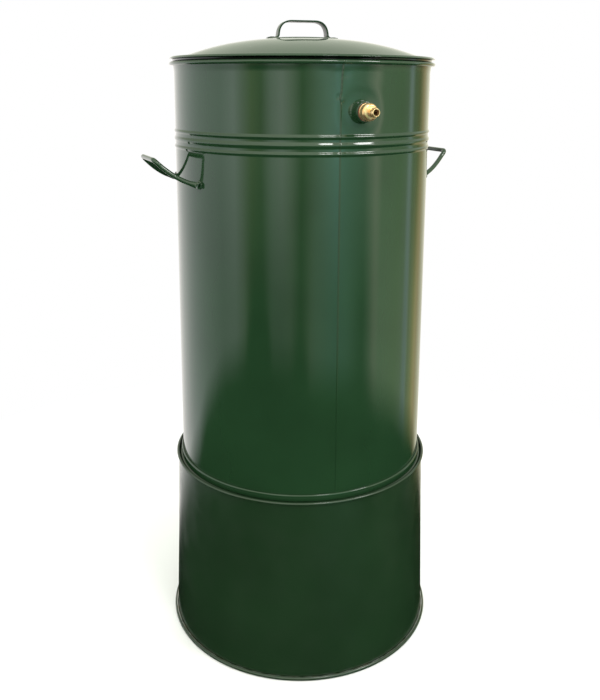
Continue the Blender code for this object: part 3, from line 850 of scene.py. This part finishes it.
def strap_points(thick):
    """Middle line of the strap in its own plane: flat feet, splayed legs and wide round shoulders."""
    low = 0.3 + thick / 2
    corners = [(STRAP_END, low), (STRAP_HALF + 1.2, low), (STRAP_HALF - 1.5, STRAP_RISE), (0, STRAP_RISE)]
    half = softened(corners, [0, 4.2, 20, 0], 20, closed=False, most=0.75)
    feet = np.linspace(half[0], half[1], 16)[:-1]
    top = np.linspace(half[-2], half[-1], 6)[1:]
    half = np.concatenate([feet, half[1:-1], top])
    half[:, 1] -= (1 - foot_thinning(half[:, 0])) * thick / 2
    return np.concatenate([half, half[-2::-1] * (-1, 1)])


def make_strap(sizes):
    """The strap handle: a rounded flat bar along its line, with rounded ends and a hole for each rivet."""
    width, thick = millimetres(sizes.strap_width), millimetres(sizes.strap_thickness)
    line = strap_points(thick)
    cos, sin = math.cos(STRAP_TURN), math.sin(STRAP_TURN)
    path = np.stack([line[:, 0] * cos, line[:, 0] * sin + AXIS_Y, line[:, 1] + CROWN], -1)
    from_end = STRAP_END - np.abs(line[:, 0])
    nip = np.sqrt(np.clip(1 - (1 - np.clip(from_end / 6, 0, 1))**2 * 0.45, 0, 1))
    waist = 1 - 0.06 * smooth(line[:, 1], 4, 20)
    scale = np.stack([nip * waist, foot_thinning(line[:, 0])], -1)
    path, scale = domed_ends(path, scale, 0.5)
    side = np.array([-sin, cos, 0])
    rise = np.cross(unit(np.gradient(path, axis=0)), side)
    grid = laid_along(path, side, rise[:, None], bar_section(width, thick, 0.75), scale)
    mesh = carved(new_mesh("strap", [(grid, False, True)]), cuts=rivet_holes(-4, 8))
    finish_piece("lid_strap", mesh, "rubbed_paint", "lid", ["lid_strap_handle"])


def make_rivets(sizes):
    """Each rivet: a closing head under the lid, a shank and a low wide head on the strap's foot."""
    high = 0.5 + millimetres(sizes.strap_thickness) * foot_thinning(STRAP_END)
    shank = RIVET_HOLE - 0.3
    corners = [(0, -2.5), (3.4, -2.5), (4.2, -1.3), (shank, -1.3), (shank, high), (4.4, high),
               (4.0, high + 0.5), (0, high + 0.9)]
    for i, (x, y) in enumerate(rivet_places()):
        rivet = rod(corners, [0, 0.5, 0.2, 0, 0, 0.2, 1.2, 0], "up", CROWN, 48, (x, y, 0))
        finish_piece(f"lid_rivet_head_{i + 1}", new_mesh("rivet", rivet), "gloss_paint", "lid",
                     [f"lid_rivet_{i + 1}"])


# ---- studio ----
FOCAL = 40.79            # mm, on a 36 mm sensor
CAMERA_AWAY = 1.2818     # metres from the vessel's axis
CAMERA_HEIGHT = 0.9004
CAMERA_HEADING = math.radians(23.8)
CAMERA_PITCH = math.radians(11.65)
CAMERA_ROLL = math.radians(0.28)
CAMERA_SHIFT = (-0.0016, -0.1463)
STUDIO_REACH = 9000      # mm, of the floor and of the backdrop
FLOOR_DROP = 0.4         # mm, that the floor lies under the plinth's foot

# Large soft panels round the object: the direction in degrees from the camera towards the right, the colour
# at eye level, the share of it left further down, and how far down (as a sine) the panel reaches.
PANELS = ((-180, (1.3, 1.25, 1.2), 0.75, 0.58), (-150, (1.5, 1.47, 1.43), 0.9, 0.5),
          (-130, (1.5, 1.5, 1.48), 0.95, 0.475), (-112, (1.4, 1.46, 1.46), 0.9, 0.45),
          (-98, (1.35, 1.43, 1.42), 0.85, 0.41), (-75, (1.4, 1.5, 1.48), 0.65, 0.37),
          (-61, (1.95, 2.1, 2.05), 0.55, 0.36), (-52, (1.2, 1.3, 1.1), 0.6, 0.35),
          (-44, (0.75, 0.85, 0.45), 0.05, 0.3), (-35, (0.45, 0.5, 0.3), 0.05, 0.28),
          (-26, (1.4, 1.55, 1.4), 0.3, 0.36), (-17, (1.85, 1.95, 1.85), 0.25, 0.36),
          (-9, (1.2, 1.3, 1.1), 0.4, 0.36), (0, (0.25, 0.25, 0.15), 0.3, 0.34),
          (9, (0.65, 0.75, 0.6), 0.85, 0.38), (20, (1.05, 1.5, 1.3), 0.5, 0.38),
          (31, (1.2, 2.1, 1.95), 0.35, 0.38), (44, (0.8, 1.4, 1.15), 0.5, 0.38),
          (58, (0.7, 1.0, 0.8), 0.15, 0.38), (69, (2.0, 2.05, 1.6), 0.5, 0.39),
          (76, (0.9, 1.1, 0.75), 1.1, 0.4), (98, (0.6, 0.75, 0.45), 1.3, 0.41),
          (107, (0.6, 0.7, 0.5), 1.2, 0.42), (112, (1.1, 1.3, 1.3), 0.7, 0.42),
          (118, (0.45, 0.5, 0.3), 1.4, 0.43), (128, (0.4, 0.35, 0.15), 2.2, 0.43),
          (138, (0.95, 0.75, 0.4), 1.0, 0.44), (150, (1.2, 1.15, 0.85), 0.8, 0.47),
          (180, (1.3, 1.25, 1.2), 0.75, 0.58))


def make_floor(colours):
    """A pale disc that is plain light away from the object, so that it has no horizon."""
    radii = np.array([0.0, 300, 700, 1500, 3000, STUDIO_REACH, STUDIO_REACH, 0])
    heights = np.array([0.0, 0, 0, 0, 0, 0, -20, -20]) - FLOOR_DROP
    mesh = new_mesh("studio_floor", [turned(np.stack([radii, heights], -1), even(96), closed=False)])
    tree, shader = new_material("pale_floor", roughness=0.9)
    shader.inputs["Base Color"].default_value = (*colours.floor, 1)
    distance = made(tree, "VectorMath", {0: made(tree, "TexCoord")["Object"]}, operation="LENGTH")["Value"]
    away = ranged(tree, distance, 0.0, 1.0, 0.35, 1.1)
    light = made(tree, "Emission")["Emission"]
    mix = made(tree, "MixShader", {"Fac": away, 1: shader.outputs["BSDF"], 2: light})["Shader"]
    tree.links.new(mix, tree.nodes["Material Output"].inputs["Surface"])
    mesh.materials.append(bpy.data.materials["pale_floor"])
    floor = link_object("studio_floor", mesh)
    floor.visible_glossy = False


def make_backdrop():
    """A white dome that only the camera sees."""
    t = np.linspace(0, math.pi, 25)
    profile = STUDIO_REACH * np.stack([np.sin(t), np.cos(t)], -1)
    mesh = new_mesh("backdrop", [turned(profile, even(48), closed=False)])
    tree, shader = new_material("white_backdrop")
    light = made(tree, "Emission")["Emission"]
    tree.links.new(light, tree.nodes["Material Output"].inputs["Surface"])
    tree.nodes.remove(shader)
    mesh.materials.append(bpy.data.materials["white_backdrop"])
    backdrop = link_object("backdrop", mesh)
    for ray in ("visible_diffuse", "visible_glossy", "visible_transmission", "visible_volume_scatter",
                "visible_shadow"):
        setattr(backdrop, ray, False)


def calculate(tree, operation, *values):
    return made(tree, "Math", dict(enumerate(values)), operation=operation)["Value"]


def make_world():
    """Panels round the object at eye height that fade towards a dark ground, under a bright ceiling."""
    world = bpy.data.worlds.new("studio")
    bpy.context.scene.world = world
    world.use_nodes = True
    tree = world.node_tree
    way = made(tree, "TexCoord")["Generated"]
    way = made(tree, "Mapping", {"Vector": way, "Rotation": (0, 0, CAMERA_HEADING)})["Vector"]
    x, y, z = made(tree, "SeparateXYZ", {"Vector": way})
    away = calculate(tree, "MULTIPLY", y, -1.0)
    angle = calculate(tree, "ARCTAN2", x, away)
    share = calculate(tree, "MULTIPLY_ADD", angle, 1 / TAU, 0.5)
    brightest, largest_share = 2.0, 4.0      # the ramps hold shares of these
    light_stops, depth_stops = [], []
    for azimuth, colour, low_share, depth in PANELS:
        at = (azimuth + 180) / 360
        light_stops.append((at, tint(colour, 1 / brightest)))
        depth_stops.append((at, (low_share / largest_share, depth, 0)))
    panels = ramp(tree, share, light_stops)
    shares = ramp(tree, share, depth_stops)
    left, depth, _ = made(tree, "SeparateXYZ", {"Vector": shares})
    down = ranged(tree, z, 1.0, 0.0, -0.27, -0.05)
    fall = calculate(tree, "MULTIPLY_ADD", calculate(tree, "MULTIPLY", left, largest_share), down,
                     calculate(tree, "SUBTRACT", 1.0, down))
    ground_fade = 0.05
    ground = calculate(tree, "MULTIPLY", calculate(tree, "ADD", z, depth), 1 / ground_fade)
    ground = calculate(tree, "MINIMUM", calculate(tree, "MAXIMUM", ground, 0.0), 1.0)
    ceiling = ranged(tree, z, 0.0, 1.0, 0.06, 0.24)
    walls = calculate(tree, "MULTIPLY", calculate(tree, "MULTIPLY", fall, ground),
                      calculate(tree, "SUBTRACT", 1.0, ceiling))
    overhead = calculate(tree, "MULTIPLY", ceiling, ranged(tree, away, 0.9, 2.3, -0.4, 0.8))
    overhead = ramp(tree, calculate(tree, "MULTIPLY", overhead, 0.4), [(0, (0, 0, 0)), (1, (2.4, 2.5, 2.1))])
    walls = calculate(tree, "MULTIPLY", walls, brightest)
    light = made(tree, "VectorMath", {0: panels, 1: walls, 2: overhead}, operation="MULTIPLY_ADD")["Vector"]
    tree.links.new(light, tree.nodes["Background"].inputs["Color"])


def make_lamp(name, place, target, size, power):
    lamp = bpy.data.lights.new(name, "AREA")
    lamp.size = size
    lamp.energy = power
    obj = link_object(name, lamp)
    obj.location = place
    way = np.array(target) - np.array(place)
    level = math.hypot(way[0], way[1])
    obj.rotation_euler = (math.atan2(level, -way[2]), 0, math.atan2(-way[0], way[1]))
    obj.visible_camera = False
    return obj


def make_camera():
    camera = bpy.data.cameras.new("camera")
    camera.lens = FOCAL
    camera.sensor_width = 36
    camera.shift_x, camera.shift_y = CAMERA_SHIFT
    camera.clip_start, camera.clip_end = 0.05, 50
    obj = link_object("camera", camera)
    obj.location = (-CAMERA_AWAY * math.sin(CAMERA_HEADING),
                    AXIS_Y * MM - CAMERA_AWAY * math.cos(CAMERA_HEADING), CAMERA_HEIGHT)
    obj.rotation_euler = (math.pi / 2 - CAMERA_PITCH, 0, -CAMERA_HEADING)
    obj.rotation_euler.rotate_axis("Z", CAMERA_ROLL)
    bpy.context.scene.camera = obj


def make_studio(colours):
    make_floor(colours)
    make_backdrop()
    make_world()
    make_lamp("key_lamp", (0.02, -1.7, 2.3), (0, 0, 0.6), 0.42, 12)
    make_lamp("fill_lamp", (1.2, -1.6, 2.0), (0, 0, 0.7), 0.55, 19)
    make_lamp("back_lamp", (0.4, 1.9, 2.2), (0, 0, 0.8), 0.8, 18).visible_glossy = False
    make_camera()
    bpy.context.scene.view_settings.view_transform = "Standard"


# ---- operators and panel ----
class BUTT_OT_finishes(Operator):
    """Make the paint, brass, zinc and fibre, and finish the wires with them"""
    bl_idname = "butt.finishes"
    bl_label = "Finishes"

    def execute(self, context):
        make_finishes(context.scene.butt_colours)
        return {"FINISHED"}


class BUTT_OT_plinth(Operator):
    """Make the plinth's sheet and the ledge inside its rim"""
    bl_idname = "butt.plinth"
    bl_label = "Plinth"

    def execute(self, context):
        make_plinth()
        make_ledge()
        return {"FINISHED"}


class BUTT_OT_barrel(Operator):
    """Make the barrel's wall, floor and chime"""
    bl_idname = "butt.barrel"
    bl_label = "Barrel"

    def execute(self, context):
        make_wall(context.scene.butt_sizes)
        make_pan()
        make_chime()
        return {"FINISHED"}


class BUTT_OT_side_handles(Operator):
    """Make the two side handles with their welds"""
    bl_idname = "butt.side_handles"
    bl_label = "Side handles"

    def execute(self, context):
        for side, name in ((-1, "side_handle_left"), (1, "side_handle_right")):
            make_side_handle(side, name, context.scene.butt_sizes)
        return {"FINISHED"}


class BUTT_OT_fittings(Operator):
    """Make the sockets, their washers and the hose tail"""
    bl_idname = "butt.fittings"
    bl_label = "Sockets and hose tail"

    def execute(self, context):
        for name, facing, height in PORTS:
            make_socket(name + "_socket", facing, height, context.scene.butt_sizes)
            make_washer(name + "_washer", facing, height)
        make_hose_tail()
        return {"FINISHED"}


class BUTT_OT_tap(Operator):
    """Make the tap's casting, gland nut, plug, lever and screw"""
    bl_idname = "butt.tap"
    bl_label = "Tap"

    def execute(self, context):
        make_tap_body()
        make_gland_and_plug()
        make_lever_and_screw()
        return {"FINISHED"}


class BUTT_OT_lid(Operator):
    """Make the lid, its locating ring, its strap handle and the rivets"""
    bl_idname = "butt.lid"
    bl_label = "Lid"

    def execute(self, context):
        make_lid()
        make_strap(context.scene.butt_sizes)
        make_rivets(context.scene.butt_sizes)
        return {"FINISHED"}


class BUTT_OT_studio(Operator):
    """Make the floor, backdrop, lights and camera"""
    bl_idname = "butt.studio"
    bl_label = "Studio"

    def execute(self, context):
        make_studio(context.scene.butt_colours)
        return {"FINISHED"}


OPERATORS = (BUTT_OT_finishes, BUTT_OT_plinth, BUTT_OT_barrel, BUTT_OT_side_handles, BUTT_OT_fittings,
             BUTT_OT_tap, BUTT_OT_lid, BUTT_OT_studio)


class BUTT_PT_panel(Panel):
    """Sizes, colours and steps of the water butt"""
    bl_idname = "BUTT_PT_panel"
    bl_label = "Water Butt"
    bl_space_type = "VIEW_3D"
    bl_region_type = "UI"
    bl_category = "Water Butt"

    def draw(self, context):
        for group in (context.scene.butt_sizes, context.scene.butt_colours):
            column = self.layout.column()
            for name in group.__annotations__:
                column.prop(group, name)
        for operator in OPERATORS:
            self.layout.operator(operator.bl_idname)


CLASSES = (ButtSizes, ButtColours, *OPERATORS, BUTT_PT_panel)


def register():
    for cls in CLASSES:
        bpy.utils.register_class(cls)
    bpy.types.Scene.butt_sizes = PointerProperty(type=ButtSizes)
    bpy.types.Scene.butt_colours = PointerProperty(type=ButtColours)


def unregister():
    del bpy.types.Scene.butt_sizes
    del bpy.types.Scene.butt_colours
    for cls in reversed(CLASSES):
        bpy.utils.unregister_class(cls)


def main():
    register()
    for operator in OPERATORS:
        getattr(bpy.ops.butt, operator.bl_idname.split(".")[1])()


if __name__ == "__main__":
    main()
